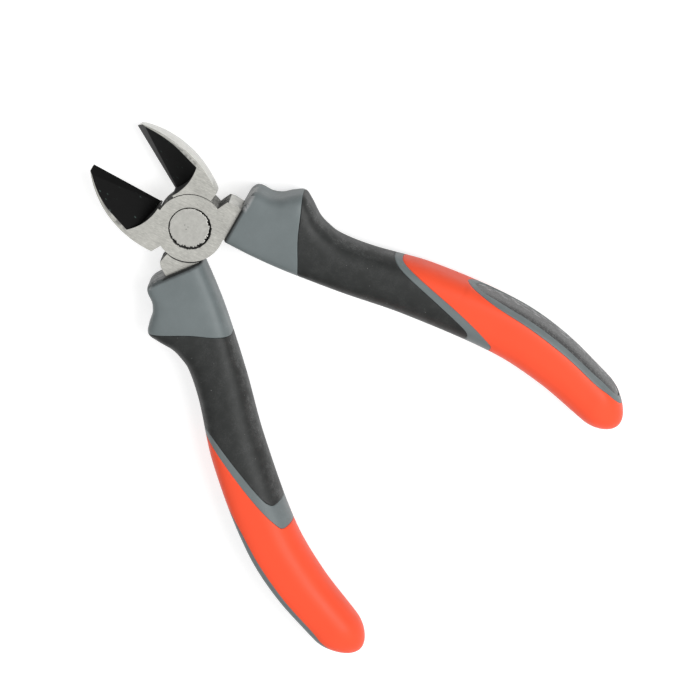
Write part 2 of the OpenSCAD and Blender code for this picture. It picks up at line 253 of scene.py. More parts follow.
def seam_place(rows, column):
    """Distance s at which each column crosses a seam that is drawn in plan, found by halving the interval."""
    ends = [row[1] for row in rows]
    low, high = np.full(column.shape, min(ends) - 1.0), np.full(column.shape, max(ends) + 1.0)
    for _ in range(40):
        s = (low + high) / 2
        x = skin_point(s, turn_at(s, column), 0)[..., 0]
        ahead = s < through(rows, np.clip(x, rows[0][0], rows[-1][0]))
        low, high = np.where(ahead, s, low), np.where(ahead, high, s)
    return (low + high) / 2


# Columns round the grip: their number, and the zone that each belongs to (0 pad, 1 frame, 2 rest)
ROUND = np.array([0, 0.3, 0.65, 1]) * math.pi / 2
PAD_COLUMNS, FRAME_COLUMNS, REST_COLUMNS = 12, 9, 68
PAD_STEP, FRAME_STEP, REST_STEP = 0.05, 0.08, 0.014


def half_columns():
    """Columns from the middle of the outer side to the middle of the inner side, closer together at the edges of
    the pad and of its frame, where two columns lie on the same line but belong to different zones."""
    soft = 1 - np.cos(ROUND)
    pad = np.concatenate([np.linspace(0, 1, PAD_COLUMNS)[:-2], 1 - PAD_STEP * soft[::-1]])
    frame_band = np.linspace(1, 2, FRAME_COLUMNS)[2:-2]
    band = np.concatenate([1 + FRAME_STEP * soft, frame_band, 2 - FRAME_STEP * soft[::-1]])
    rest = np.concatenate([2 + REST_STEP * soft, 2 + np.linspace(0, 1, REST_COLUMNS)[2:]])
    number = np.concatenate([pad, band, rest])
    zone = np.repeat([0, 1, 2], [len(pad), len(band), len(rest)])
    depth = np.zeros(len(number))
    fall = 1 - np.sin(ROUND)
    for edge in (len(pad), len(pad) + len(band)):
        depth[edge - 4:edge] = fall[::-1]
        depth[edge:edge + 4] = fall
    return number, zone, depth


def all_columns():
    """The half columns and their mirror image, as one closed round."""
    number, zone, depth = half_columns()
    back = slice(-2, 0, -1)
    return (
        np.concatenate([number, -number[back]]),
        np.concatenate([zone, zone[back]]),
        np.concatenate([depth, depth[back]]),
    )


COLUMN, ZONE, EDGE_DEPTH = all_columns()
NEXT_ZONE = np.roll(ZONE, -1)
LEVEL = np.zeros(len(COLUMN))
COLLAR_END = seam_place(COLLAR_SEAM, COLUMN)
SLEEVE_END = seam_place(BLACK_SEAM, COLUMN)
SHELL_START = seam_place(ORANGE_SEAM, COLUMN)


def rounding(start, r, turns, way=1):
    """Rows of a quarter circle of radius r at start: the place moves by r (1 - cos t), forwards or back by way,
    and the depth is r (1 - sin t)."""
    return [(start + way * r * (1 - math.cos(t)) + LEVEL, r * (1 - math.sin(t)) + LEVEL) for t in turns]


def stretch(start, end, steps, soft_start=True, soft_end=True):
    """Rows of points from start to end, each a pair of places and depths over the columns. A soft end is rounded
    with the seams' radius."""
    start, end = start + LEVEL, end + LEVEL
    a = start + (EDGE_R if soft_start else 0)
    b = end - (EDGE_R if soft_end else 0)
    first = rounding(start, EDGE_R, ROUND) if soft_start else [(start, LEVEL)]
    last = rounding(end, EDGE_R, ROUND[::-1], -1) if soft_end else [(end, LEVEL)]
    return first + [(a + (b - a) * k / steps, LEVEL) for k in range(1, steps)] + last


def leaf_row(place):
    """A place on the outer side, carried round to the inner side at the same share of the way to the end."""
    edge = SHELL_START[np.argmax(ZONE == 2)]
    share = (place - edge) / (GRIP_END - edge)
    return np.where(ZONE < 2, place, SHELL_START + share * (GRIP_END - SHELL_START))


def flatter(s):
    """Places of the inner wall, which ends short of the tail by the thickness of the skin."""
    knee_share = (GRIP_END - SKIN - FLAT_KNEE) / (GRIP_END - FLAT_KNEE)
    return np.where(s < FLAT_KNEE, s, FLAT_KNEE + (s - FLAT_KNEE) * knee_share)


def tail_rows(first, steps):
    """Rows from the place first to the tail's very end, closer together as the end rounds off."""
    t = (np.arange(steps) + 1) / steps
    return [(first + (GRIP_END - first) * math.sin(k * math.pi / 2), LEVEL) for k in t]


def skin_rows(rows, inset=0):
    """Points for a list of (places, depths)."""
    s = np.array([r[0] for r in rows])
    depth = np.array([r[1] for r in rows]) + inset
    return skin_point(s, turn_at(s, COLUMN[None, :]), depth)


def close_pole(points):
    """Draws the last row of points together in their middle."""
    points[-1] = points[-1].mean(0)
    return points


def tang_hole(count):
    """Wall of the hole that holds the tang: a rectangle about the tang's middle in each row, then a flat bottom."""
    s = np.linspace(NOSE, TANG_END + 0.1, count)[:, None] + LEVEL
    place = np.minimum(s, TANG_END)
    outer, inner = through(TANG_OUTER, place), through(TANG_INNER, place)
    thin = np.clip((s - TANG_FULL) / (TANG_END + 1 - TANG_FULL), 0, 1)
    gap = HOLE_GAP + MOUTH_GAP * np.exp((NOSE - s) / MOUTH_FLARE)
    w = (outer - inner) / 2 + gap
    h = (HEAD_T + (TANG_END_T - HEAD_T) * thin) / 2 + gap
    turn = turn_at(s, COLUMN[None, :])
    r = np.minimum(w / np.maximum(np.abs(np.cos(turn)), 1e-6), h / np.maximum(np.abs(np.sin(turn)), 1e-6))
    x = (outer + inner) / 2 + r * np.cos(turn)
    return close_pole(np.stack([x, leaning(s, x), r * np.sin(turn)], -1))


def posed(points, side):
    """Millimetres about the middle plane, closed, to metres in the frame: mirrored for the left grip, turned by half
    the opening and lifted so that the head's back lies at height 0."""
    points = points * np.array([side, 1, 1])
    turn = side * math.radians(OPENING / 2)
    c, s = math.cos(turn), math.sin(turn)
    x, y, z = points[..., 0], points[..., 1], points[..., 2]
    return np.stack([c * x - s * y, s * x + c * y, z + HALF_T], -1) * MM


def solid(name, outer, inner, keep, pole, side):
    """Closed mesh from two grids of points with the same rows and columns, the columns running right round.

    Every kept cell gives an outer face and an inner face turned over. A wall joins the two grids along each edge
    where a kept cell has no kept neighbour. With pole, the last row is one point on each grid."""
    rows, columns = outer.shape[:2]
    top = np.arange(rows * columns).reshape(rows, columns)
    if pole:
        top[-1] = top[-1, 0]
    low = top + rows * columns
    after = np.roll(np.arange(columns), -1)
    corner = [np.stack([g[:-1], g[:-1][:, after], g[1:][:, after], g[1:]], -1) for g in (top, low)]
    faces = [corner[0][keep], corner[1][keep][:, ::-1]]
    border = np.zeros((1, columns), bool)
    above = np.concatenate([border, keep[:-1]])
    below = np.concatenate([keep[1:], border | pole])
    right, left = keep[:, after], np.roll(keep, 1, axis=1)
    for neighbour, (p, q) in ((above, (0, 1)), (right, (1, 2)), (below, (2, 3)), (left, (3, 0))):
        edge = keep & ~neighbour
        faces.append(
            np.stack([corner[0][edge][:, q], corner[0][edge][:, p], corner[1][edge][:, p], corner[1][edge][:, q]], -1)
        )
    faces = np.concatenate(faces)
    if side < 0:
        faces = faces[:, ::-1]
    points = posed(np.concatenate([outer.reshape(-1, 3), inner.reshape(-1, 3)]), side)
    return mesh_object(name, points, faces)


def mesh_object(name, points, faces, sharp=32):
    """Object at the origin from points and four-cornered faces; a face with a doubled corner becomes a triangle."""
    used, index = np.unique(faces, return_inverse=True)
    index = index.reshape(faces.shape)
    same = index == np.roll(index, -1, axis=1)
    four = index[~same.any(1)].tolist()
    three = index[same.sum(1) == 1]
    three = three[~same[same.sum(1) == 1]].reshape(-1, 3).tolist()
    mesh = bpy.data.meshes.new(name)
    mesh.from_pydata(points[used].tolist(), [], four + three)
    work = bmesh.new()
    work.from_mesh(mesh)
    bmesh.ops.remove_doubles(work, verts=work.verts, dist=2e-7)
    work.to_mesh(mesh)
    work.free()
    mesh.polygons.foreach_set("use_smooth", np.ones(len(mesh.polygons), bool))
    mesh.set_sharp_from_angle(angle=math.radians(sharp))
    mesh.update()
    piece = bpy.data.objects.new(name, mesh)
    bpy.context.scene.collection.objects.link(piece)
    return piece


def make_sleeve(side):
    """Soft black moulding from the collar's seam to the stripe: the grip's form outside, inset by the skin inside."""
    rows = stretch(COLLAR_END, SLEEVE_END, 110)
    outer = skin_rows(rows)
    inner = skin_rows([(s, LEVEL) for s, _ in rows], SKIN)
    return solid("grip_sleeve", outer, inner, np.ones((len(rows) - 1, len(COLUMN)), bool), False, side)


def belly_rows():
    """Rows from the orange seam to the very end, with rows at the tips of the leaf and of the pad, and the row
    numbers at which those four tips lie. Two rows lie on each tip, one for each side of its step."""
    rows = stretch(SHELL_START, leaf_row(LEAF_START), 26, soft_end=False)
    marks = [len(rows)]
    stops = [LEAF_START, PAD_LOW, PAD_HIGH, LEAF_END]
    for a, b, steps in ((0, 1, 8), (1, 2, 84), (2, 3, 8)):
        rows += stretch(leaf_row(stops[a]), leaf_row(stops[b]), steps, False, False)
        marks.append(len(rows))
    last = leaf_row(LEAF_END)
    rows += [(last, LEVEL)] + tail_rows(last, 14)
    return rows, marks


def make_shell(side):
    """Soft orange moulding from the stripe to the end, with a window along the leaf's outline. Its edges are rounded
    at the seam and along the window."""
    rows, marks = belly_rows()
    s = np.array([r[0] for r in rows])
    depth = np.array([r[1] for r in rows])
    open_rows = np.zeros(len(rows))
    open_rows[marks[0]:marks[3]] = 1
    depth = depth + EDGE_R * open_rows[:, None] * np.where(ZONE == 2, EDGE_DEPTH, 0)
    outer = close_pole(skin_point(s, turn_at(s, COLUMN[None, :]), depth))
    deep = flatter(s)
    inner = close_pole(skin_point(deep, turn_at(deep, COLUMN[None, :]), SKIN))
    inner[-1] = [inner[-2, :, 0].mean(), SKIN - GRIP_END, 0]
    keep = np.ones((len(rows) - 1, len(COLUMN)), bool)
    window = (ZONE < 2) & (NEXT_ZONE < 2) | (ZONE != NEXT_ZONE)
    keep[marks[0]:marks[3] - 1, window] = False
    return solid("grip_shell", outer, inner, keep, True, side)


def make_pad(side):
    """Textured pad in the leaf frame: a slightly sunk skin with rounded edges, on the bottom of its recess."""
    rows, marks = belly_rows()
    rows = rows[marks[1]:marks[2]]
    s = np.array([r[0] for r in rows])
    turn = turn_at(s, COLUMN[None, :])
    fall = 1 - np.sin(ROUND)
    ends = np.zeros(len(rows))
    ends[:4], ends[-4:] = fall, fall[::-1]
    depth = PAD_SINK + np.maximum(PAD_END_ROUND * ends[:, None], PAD_ROUND * np.where(ZONE == 0, EDGE_DEPTH, 0))
    outer = skin_point(s, turn, depth)
    inner = skin_point(s, turn, PAD_T)
    keep = np.zeros((len(rows) - 1, len(COLUMN)), bool)
    keep[:, (ZONE == 0) & (NEXT_ZONE == 0)] = True
    return solid("grip_pad", outer, inner, keep, False, side)


def make_core(side):
    """Hard grey moulding on the tang. Its outer grid lies on the grip's form at the collar, the stripe and the
    leaf frame, and a skin's thickness deeper under the soft mouldings; its inner grid is the tang's hole."""
    nose = rounding(NOSE, NOSE_R, np.linspace(0, 1, 7) * math.pi / 2)
    collar = stretch(NOSE + NOSE_R, COLLAR_END, 60, soft_start=False)[1:]
    hidden = [(COLLAR_END + (SLEEVE_END - COLLAR_END) * t, SKIN + UNDER + LEVEL) for t in np.linspace(0, 1, 9)]
    stripe = stretch(SLEEVE_END, SHELL_START, 10)
    rows, marks = belly_rows()
    s = np.array([r[0] for r in rows])
    deep = flatter(s)
    row = np.arange(len(rows))[:, None]
    in_leaf = (row >= marks[0]) & (row < marks[3]) & (ZONE < 2)
    in_pad = (row >= marks[1]) & (row < marks[2]) & (ZONE == 0)
    frame_depth = FRAME_ROUND * np.where(ZONE == 1, EDGE_DEPTH, 0)
    depth = np.where(in_leaf, np.where(in_pad, PAD_T + UNDER, frame_depth), SKIN + UNDER)
    place = np.where(in_leaf, s, deep)
    belly = skin_point(place, turn_at(place, COLUMN[None, :]), depth)
    outer = np.concatenate([skin_rows(nose + collar + hidden + stripe), belly])
    outer[-1] = [belly[-2, :, 0].mean(), SKIN + UNDER - GRIP_END, 0]
    inner = tang_hole(len(outer))
    return solid("grip_core", outer, inner, np.ones((len(outer) - 1, len(COLUMN)), bool), True, side)


class Signal:
    """A socket's value in the shader. Each operator adds one Math node."""

    def __init__(self, tree, socket):
        self.tree, self.socket = tree, socket

    def math(self, operation, *values):
        """The result of one Math node with these values."""
        made = self.tree.nodes.new("ShaderNodeMath")
        made.operation = operation
        for slot, value in zip(made.inputs, values):
            plug(self.tree, slot, value)
        return Signal(self.tree, made.outputs[0])

    def __add__(self, other):
        return self.math("ADD", self, other)

    def __radd__(self, other):
        return self.math("ADD", other, self)

    def __sub__(self, other):
        return self.math("SUBTRACT", self, other)

    def __rsub__(self, other):
        return self.math("SUBTRACT", other, self)

    def __mul__(self, other):
        return self.math("MULTIPLY", self, other)

    def __rmul__(self, other):
        return self.math("MULTIPLY", other, self)

    def __truediv__(self, other):
        return self.math("DIVIDE", self, other)

    def __neg__(self):
        return self.math("MULTIPLY", self, -1)

    def abs(self):
        return self.math("ABSOLUTE", self)

    def sqrt(self):
        return self.math("SQRT", self)

    def least(self, other):
        return self.math("MINIMUM", self, other)

    def most(self, other):
        return self.math("MAXIMUM", self, other)

    def step(self, low, high):
        """0 below low and 1 above high, straight between; the other way round where high is below low."""
        share = (self - low) / (high - low)
        return share.least(1).most(0)


def plug(tree, slot, value):
    """Links a Signal to a socket, or writes a plain value on it."""
    if isinstance(value, Signal):
        tree.links.new(value.socket, slot)
    elif isinstance(value, (tuple, list)) and len(slot.default_value) == 4 and len(value) == 3:
        slot.default_value = (*value, 1)
    else:
        slot.default_value = value


class Finish:
    """One material and the calls that add nodes to it."""

    def __init__(self, name):
        self.material = bpy.data.materials.new(name)
        self.material.use_nodes = True
        self.tree = self.material.node_tree
        self.tree.nodes.clear()
        place = self.node("ShaderNodeTexCoord", output="Object")
        self.mm = self.scaled(place, 1 / MM)
        self.x, self.y, self.z = (self.split(self.mm, k) for k in range(3))

    def node(self, kind, settings={}, sockets={}, output=0):
        """Any node: its type, its settings, the values or links of its sockets, and the output that is wanted."""
        made = self.tree.nodes.new(kind)
        for key, value in settings.items():
            setattr(made, key, value)
        for key, value in sockets.items():
            plug(self.tree, made.inputs[key], value)
        return Signal(self.tree, made.outputs[output])

    def split(self, vector, axis):
        return self.node("ShaderNodeSeparateXYZ", {}, {0: vector}, axis)

    def join(self, x, y, z):
        return self.node("ShaderNodeCombineXYZ", {}, {0: x, 1: y, 2: z})

    def noise(self, point, scale, detail=2.0, rough=0.5):
        """Smooth random value about 0.5, with scale waves in a millimetre."""
        sockets = {"Vector": point, "Scale": scale, "Detail": detail, "Roughness": rough}
        return self.node("ShaderNodeTexNoise", {}, sockets, "Fac")

    def cells(self, point, scale):
        """Distance to the nearest of many scattered points, scale of them in a millimetre."""
        return self.node("ShaderNodeTexVoronoi", {}, {"Vector": point, "Scale": scale}, "Distance")

    def level(self, normal):
        """How level the surface lies: 1 where it faces straight up or down and 0 on an upright wall."""
        return self.split(self.node("ShaderNodeNewGeometry", output=normal), 2).abs()

    def scaled(self, vector, factor):
        return self.node("ShaderNodeVectorMath", {"operation": "SCALE"}, {0: vector, "Scale": factor})

    def blend(self, share, first, second):
        """The colour first where share is 0 and second where it is 1."""
        return self.node("ShaderNodeMix", {"data_type": "RGBA"}, {0: share, 6: first, 7: second}, 2)

    def bump(self, height, strength, depth):
        """Normal of a surface whose height varies by depth millimetres."""
        return self.node("ShaderNodeBump", {}, {"Height": height, "Strength": strength, "Distance": depth * MM})

    def surface(self, **sockets):
        """The surface shader; underscores in a name stand for spaces."""
        shader = self.tree.nodes.new("ShaderNodeBsdfPrincipled")
        for key, value in sockets.items():
            plug(self.tree, shader.inputs[key.replace("_", " ")], value)
        output = self.tree.nodes.new("ShaderNodeOutputMaterial")
        self.tree.links.new(shader.outputs[0], output.inputs["Surface"])
        return self.material


def grey(value):
    return (value, value, value)


def srgb(*values):
    """Linear colour from 8-bit display values."""
    return tuple(v / 255 / 12.92 if v <= 10 else ((v / 255 + 0.055) / 1.055) ** 2.4 for v in values)


# Colours, linear, and what differs between the two halves' bevels (1 is the half whose jaw is on the left): the
# bevels' blacks differ only by painted light, and the rear half's honed strip is painted grey as a reflection
STEEL = (0.45, 0.446, 0.414)
RIVET_STEEL = (0.485, 0.481, 0.45)
# painted highlight for upright steel walls that catch the light
WALL_HIGHLIGHT = (0.7, 0.7, 0.68)
LINT = (0.1, 0.15, 0.135)
PAD_GRAIN = (0.3, 0.305, 0.3)
GRIP_GREY = srgb(107, 115, 116)
GRIP_BLACK = srgb(32, 34, 33)
GRIP_ORANGE = (0.93, 0.09, 0.034)
SHADE = grey(0.02)
BEVEL_BLACK_AS_LIT = {1: 0.012, -1: 0.03}
HONED_BLACK_AND_GLINT = {1: 0.014, -1: 0.1}
GRAIN_TURN = math.radians(-67)
PITS = [(-0.9, 0.5), (-0.1, 0.6), (-0.35, 1.6)]


def jaw_axes(f, side):
    """Distance from the cutting edge's line, away into the jaw, and distance from the pivot up along that line.
    side is 1 for the half whose jaw is on the left."""
    half = math.radians(OPENING / 2)
    c, s = math.cos(half), math.sin(half)
    return -(f.x * (side * c) + f.y * s), f.y * c - f.x * (side * s)


def blackened(f, away, up):
    """Masks of a jaw's blackened bevels and of its honed strip.

    They are found from the planes that were ground: on them the height above the middle plane equals the plane's
    height at that distance from the cutting edge, inside the arc of the cutter."""
    height = f.z - HALF_T
    slope, steeper = math.radians(EDGE_SLOPE), math.radians(BEVEL_SLOPE)
    hone = math.tan(math.radians(HONE_ANGLE)) / math.cos(slope)
    edge = (up - BEVEL_Y) * math.tan(slope) - EDGE_DROP
    strip = edge + away * hone
    bevel = (up - BEVEL_Y) * math.tan(steeper) - EDGE_DROP + HONE_W * hone
    bevel = bevel + (away - HONE_W) * (math.tan(math.radians(BEVEL_ANGLE)) / math.cos(steeper))
    back = edge - away * (math.tan(math.radians(BACK_ANGLE)) / math.cos(slope))
    below_centre = (up - BEVEL_Y - BEVEL_R).least(0)
    reach = (away * away + below_centre * below_centre).sqrt()
    on_plane = (height - strip.least(bevel)).step(-0.1, -0.06).most((back - height).step(-0.1, -0.06))
    inside = reach.step(BEVEL_R + 0.06, BEVEL_R + 0.03)
    black = on_plane * inside * away.step(-0.3, -0.2)
    return black, black * (bevel - strip).step(-0.02, 0.06)


def walls(f, side, away, up):
    """Masks of one half's painted shade and of the painted highlight on its upright walls.

    Painted shade lies on the walls that face the other half (at the shoulder, round the disc and in the mouth), on
    the strip below the face at the disc's rim, broken by scratches, and on the ragged seat of the rivet's head at its
    lower right. The rear half also has a line of painted shade where the front disc ends. The painted highlight lies
    on the spine and the front half's tang."""
    wall = f.level("True Normal").step(0.5, 0.25)
    radius = (f.x * f.x + f.y * f.y).sqrt()
    stop = math.radians(-SHOULDER_ANGLE)
    shoulder = (up * math.cos(stop) - away * math.sin(stop)).abs().step(0.4, 0.2) * away.step(-8, -8.5)
    mouth_side = 0.6 + 0.4 * f.y.step(3, 5)
    facing = shoulder.most(radius.step(DISC_R + 0.5, DISC_R + 0.3) * mouth_side)
    facing = facing.most(radius.step(12.5, 11.5) * up.step(7.5, 8.5))
    sunk = (f.z - HALF_T).abs().step(HALF_T - 0.25, HALF_T - 0.5)
    sunk = sunk * radius.step(DISC_R + 0.35, DISC_R + 0.2) * mouth_side.most(radius.step(8, 7.5))
    scratch = f.noise(f.join(f.x * 0.7 + f.y * 0.7, f.y * 0.2, f.z * 2), 1.5, 3, 0.7).step(0.54, 0.6)
    lower_right = ((f.y * -0.9 - f.x * 0.1) / radius).step(-0.6, 0.2)
    ragged = radius + 1.2 * (f.noise(f.mm, 0.9, 3, 0.75) - 0.5)
    seat = ragged.step(RIVET_HEAD_R + 0.12, RIVET_HEAD_R + 0.02) * lower_right
    seat = seat * radius.step(RIVET_HEAD_R + 0.5, RIVET_HEAD_R + 0.45)
    # The painted highlight reaches the spine, and on the front half the tang at half strength; on the rear half the
    # painted shade also takes a line where the front disc ends
    open_wall = up.step(8, 9)
    if side > 0:
        open_wall = open_wall.most(up.step(-3, -4) * 0.5)
    else:
        seat = seat.most(radius.step(DISC_R + 0.4, DISC_R + 0.25) * f.y.step(-1, -3))
    # Painted shade: walls facing the other half and the sunk strip, lightened where scratched, and the rivet's seat
    painted_shade = ((wall * facing).most(sunk) * (1 - 0.6 * scratch)).most(seat)
    return painted_shade * 0.95, wall * (1 - facing) * open_wall * 0.45


def ground_steel(name, side):
    """Ground and brushed steel with blackened bevels. side is 1 for the half whose jaw is on the left.

    The tone is a sum of long brushed streaks, fine ones and a slow cloud. Over it lie small darker spots, a streak of
    painted shade inside the arc of the spine, a painted highlight on upright walls and painted shade on walls and
    gaps that lie in shade; the bevels carry a little lint, and the rear half's honed strip is painted grey as a
    reflection."""
    f = Finish(name)
    away, up = jaw_axes(f, side)
    black, honed = blackened(f, away, up)
    painted_shade, pale = walls(f, side, away, up)

    c, s = math.cos(GRAIN_TURN), math.sin(GRAIN_TURN)
    along, across = f.x * c + f.y * s, f.y * c - f.x * s
    brushed = f.noise(f.join(along * 0.16, across * 2.2, f.z * 0.5), 1, 4, 0.8)
    fine = f.noise(f.join(along * 0.9, across * 3, f.z), 1, 3, 0.75)
    cloud = f.noise(f.mm, 0.16, 4, 0.6)
    spots = f.cells(f.mm, 0.6).step(0.12, 0.06) * f.noise(f.mm, 0.35).step(0.5, 0.6)
    inward, above = away - (SPINE_X - SPINE_R), up - SPINE_Y
    from_spine = (inward * inward + above * above).sqrt()
    # Painted shade: a broken, darker streak just inside the spine's arc towards the tip, standing in for the shade
    # where the face turns there
    spine_shade = from_spine.step(27.6, 28.4) * from_spine.step(29.4, 28.9) * up.step(13, 16)
    spine_shade = spine_shade * f.noise(f.join(along, across * 0.6, f.z), 0.45, 4, 0.7).step(0.42, 0.56)

    steel = f.scaled(STEEL, 0.6 * brushed + 0.95 * fine + 0.5 * cloud)
    steel = f.blend(spots * 0.5, steel, grey(0.1))
    steel = f.blend(spine_shade * 0.7, steel, grey(0.12))
    # Painted highlight on upright walls, then painted shade on walls and gaps
    steel = f.blend(pale, steel, WALL_HIGHLIGHT)
    steel = f.blend(painted_shade, steel, SHADE)
    lint = f.cells(f.join(f.x + 0.6 * cloud, f.y * 0.5, f.z), 0.9).step(0.2, 0.06)
    lint = lint * f.noise(f.mm, 0.3).step(0.46, 0.54)
    # The two halves' bevel blacks differ by painted light, and the rear half's honed strip is painted grey as a
    # reflection
    bevel = f.blend(lint * 0.6, grey(BEVEL_BLACK_AS_LIT[side]), LINT)
    bevel = f.blend(honed, bevel, grey(HONED_BLACK_AND_GLINT[side]))
    rough = 0.34 + 0.16 * brushed + black * (0.02 + 0.14 * cloud) + painted_shade * 0.5
    return f.surface(Base_Color=f.blend(black, steel, bevel), Metallic=1 - painted_shade, Roughness=rough,
                     Normal=f.bump(brushed * 0.5 + fine * 0.5, 0.22, 0.05))


def rivet_steel():
    """Bright ground rivet face, finely mottled, with pale scratches, a rim darkened with painted shade and a few
    small pits.
    """
    f = Finish("ground rivet")
    mottle = f.noise(f.mm, 0.9, 4, 0.65)
    fine = f.noise(f.join(f.x * 1.1, f.y * 4, f.z), 3, 3, 0.6)
    # Painted shade: the outer half millimetre of the face is darkened towards the rim
    rim = (f.x * f.x + f.y * f.y).sqrt().step(RIVET_HEAD_R - 0.5, RIVET_HEAD_R)
    steel = f.scaled(RIVET_STEEL, 0.6 + 0.4 * mottle + 0.3 * fine)
    scratch = f.noise(f.join(f.x * 0.25, f.y * 2.4, f.z), 1.1, 4, 0.8).step(0.6, 0.66)
    colour = f.blend(rim * 0.45, f.blend(scratch * 0.3, steel, grey(0.75)), grey(0.14))
    front = f.z.step(HEAD_T - 1, HEAD_T - 0.5)
    for px, py in PITS:
        away = ((f.x - px) * (f.x - px) + (f.y - py) * (f.y - py)).sqrt()
        colour = f.blend(away.step(0.17, 0.1) * front * 0.75, colour, grey(0.05))
    return f.surface(Base_Color=colour, Metallic=1.0, Roughness=0.3 + 0.2 * mottle,
                     Normal=f.bump(mottle * 0.5 + fine * 0.5, 0.3, 0.03))


def shaded_scuffed_nose(f, shade, mouth, skin, handled):
    """The collar's colour with painted shade on its nose, a blacker line of painted shade next to the tang and
    pale scuffs beside it. The nose leans, so depth behind it is measured along the handle plus the lean's share of
    the distance across."""
    half = math.radians(OPENING / 2)
    c, s = math.cos(half), math.sin(half)
    across, along = f.x.abs() * c + f.y * s, f.x.abs() * s - f.y * c
    deep = along - NOSE + (across - NOSE_IN) * NOSE_LEAN + 0.5 * (skin - 0.5)
    # Painted shade on the nose and its rounded edge, and a blacker line of painted shade next to the tang
    shade = f.blend(deep.step(1.2, 0.7) * mouth, shade, grey(0.03))
    shade = f.blend(deep.step(0.6, 0.4) * across.step(13.6, 12.8) * 0.85, shade, grey(0.012))
    scuff = deep.step(1.7, 1) * across.step(12.5, 13.5) * handled.step(0.5, 0.56)
    return f.blend(scuff * 0.6, shade, grey(0.45))


def moulded(name, colour, rough, grain, lint=0.0, tint=0.06, shine=0.5, mouth=0.0, rub_and_sheen=0.0):
    """Moulded plastic: a fine grain in the bump, and slow changes of colour and of shine.

    lint adds a fleck of dust now and then, mouth is the strength of the painted shade at the collar's nose, and the
    last argument that of paler patches, partly the hand's rubbing and partly painted sheen, most of all on the side
    walls."""
    f = Finish(name)
    cloud = f.noise(f.mm, 0.09, 3, 0.6)
    skin = f.noise(f.mm, 2.6, 4, 0.6)
    handled = f.noise(f.join(f.x * 0.6, f.y * 0.3, f.z), 0.5, 4, 0.7)
    low, high = (tuple(v * (1 + way * tint) for v in colour) for way in (-1, 1))
    shade = f.blend(cloud.step(0.3, 0.7), low, high)
    if rub_and_sheen:
        # Paler patches: partly the hand's rubbing and partly painted sheen, strongest on the side walls
        wall = f.level("Normal").step(0.75, 0.4)
        rub_sheen_patches = f.noise(f.mm, 0.28, 5, 0.7).step(0.42, 0.62) * skin.step(0.3, 0.7) * (0.3 + wall)
        shade = f.blend(rub_sheen_patches * rub_and_sheen, shade, tuple(v * 1.5 + 0.11 for v in colour))
    if lint:
        flecks = f.cells(f.mm, 0.62).step(0.075, 0.03) * f.noise(f.mm, 0.25).step(0.48, 0.56)
        shade = f.blend(flecks * lint, shade, grey(0.3))
    if mouth:
        shade = shaded_scuffed_nose(f, shade, mouth, skin, handled)
    return f.surface(Base_Color=shade, Roughness=rough + 0.14 * (handled - 0.5) + 0.06 * (cloud - 0.5),
                     Specular_IOR_Level=shine, Normal=f.bump(skin, 0.35, grain))


def pad_finish():
    """Grey pad with a close, irregular knurl of small raised grains, painted light and shade that leave it paler
    along its crest and darker towards its front edge, and soft patches of painted sheen near the crest.
    """
    f = Finish("textured pad")
    streak = f.noise(f.join(f.x * 2, f.y * 0.7, f.z * 3), 1.3, 4, 0.7)
    raised = f.cells(f.mm, 1.5).step(0.55, 0.15)
    # Painted light and shade: paler over the crest, darker towards the front edge
    crest = (f.z - HALF_T + 2).abs().step(7, 4)
    # Soft patches of painted sheen near the crest
    crest_sheen = (f.z - HALF_T + 2.9).abs().step(2.7, 1.9)
    crest_sheen = crest_sheen * f.noise(f.join(f.x, f.y * 0.5, f.z), 0.7, 3, 0.65).step(0.48, 0.62)
    shade = f.blend(crest, grey(0.045), grey(0.15))
    shade = f.blend(raised * streak.step(0.4, 0.7) * 0.5, shade, PAD_GRAIN)
    shade = f.blend(crest_sheen * 0.6, shade, grey(0.55))
    return f.surface(Base_Color=shade, Roughness=0.6 - 0.15 * raised, Specular_IOR_Level=0.4,
                     Normal=f.bump(raised + 0.5 * streak, 0.6, 0.12))


# Rivet: points in a ring, waves round its rim, where the gap round it is widest, and how far the rim sinks
RING_POINTS = 360
RIM_WAVES = (9, 14, 21, 29, 37, 46, 58)
WIDEST = math.radians(-100)
RIM_SINK = 0.03


